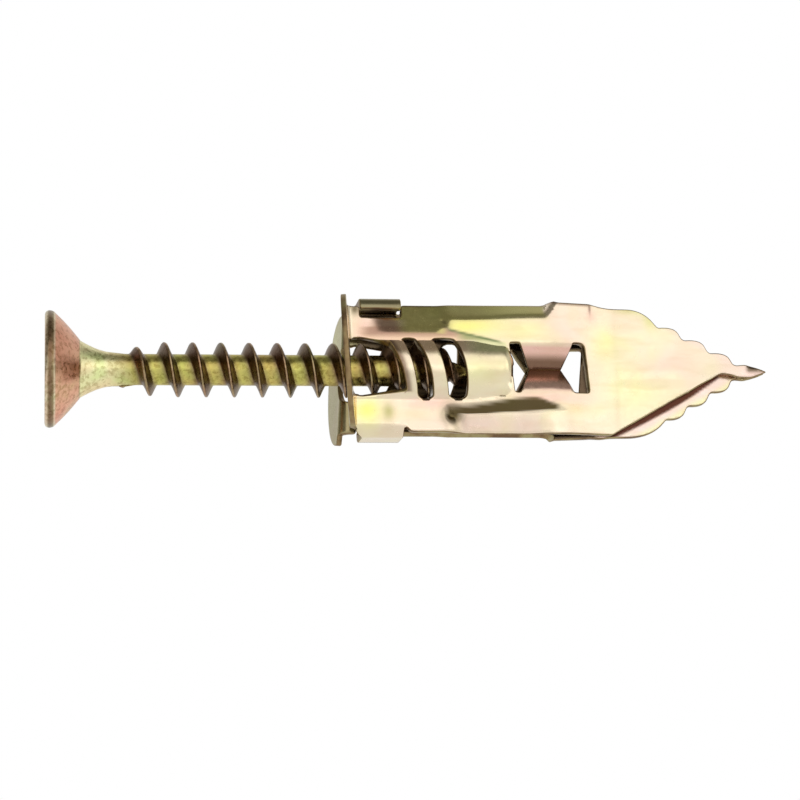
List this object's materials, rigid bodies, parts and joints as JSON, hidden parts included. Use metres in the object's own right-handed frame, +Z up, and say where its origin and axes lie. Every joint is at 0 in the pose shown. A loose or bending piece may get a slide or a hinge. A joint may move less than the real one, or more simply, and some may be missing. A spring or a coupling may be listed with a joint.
{
  "type": "hammer-in wall anchor with screw",
  "caption": "Yellow zinc-plated sheet-metal plasterboard anchor with a split collar, fluted thread channel, serrated point and a countersunk coarse-thread screw that spreads its legs.",
  "frame": {"origin": "on the screw's axis at the collar's wall face, where the collar meets the wall", "axes": "+X along the axis from the screw's head to the anchor's point; the anchor's wide faces look along -Y and +Y; +Z up across its width"},
  "size_m": [0.0532, 0.0106, 0.0104],
  "materials": {
    "zinc_sheet": "yellow passivated zinc plating, glossy, with pink and green iridescence",
    "zinc_screw": "yellow passivated zinc plating, darker olive in the thread"
  },
  "bodies": {
    "collar": {"collar_front": "zinc_sheet", "collar_rear": "zinc_sheet"},
    "leg_front": {"leg_front": "zinc_sheet"},
    "leg_rear": {"leg_rear": "zinc_sheet"},
    "screw_core": {"screw_core": "zinc_screw"},
    "screw": {"screw": "zinc_screw"}
  },
  "joints": [
    {"name": "screw_advance", "type": "slide", "parent": "collar", "child": "screw_core", "axis": [1, 0, 0], "range_m": [0, 0.0186]},
    {"name": "screw_turn", "type": "hinge", "parent": "screw_core", "child": "screw", "pos_m": [0, 0, 0], "axis": [1, 0, 0], "range_deg": [0, 3282.4]},
    {"name": "leg_front_open", "type": "hinge", "parent": "collar", "child": "leg_front", "pos_m": [0.0007, -0.0016, 0], "axis": [0, 0, -1], "range_deg": [0, 18.01]},
    {"name": "leg_rear_open", "type": "hinge", "parent": "collar", "child": "leg_rear", "pos_m": [0.0007, 0.0016, 0], "axis": [0, 0, 1], "range_deg": [0, 18.01]}
  ],
  "couplings": [
    {"joint": "screw_turn", "follows": "screw_advance", "rad_per_m": 3080},
    {"joint": "leg_front_open", "follows": "screw_advance", "rad_per_m": 16.89},
    {"joint": "leg_rear_open", "follows": "screw_advance", "rad_per_m": 16.89}
  ]
}
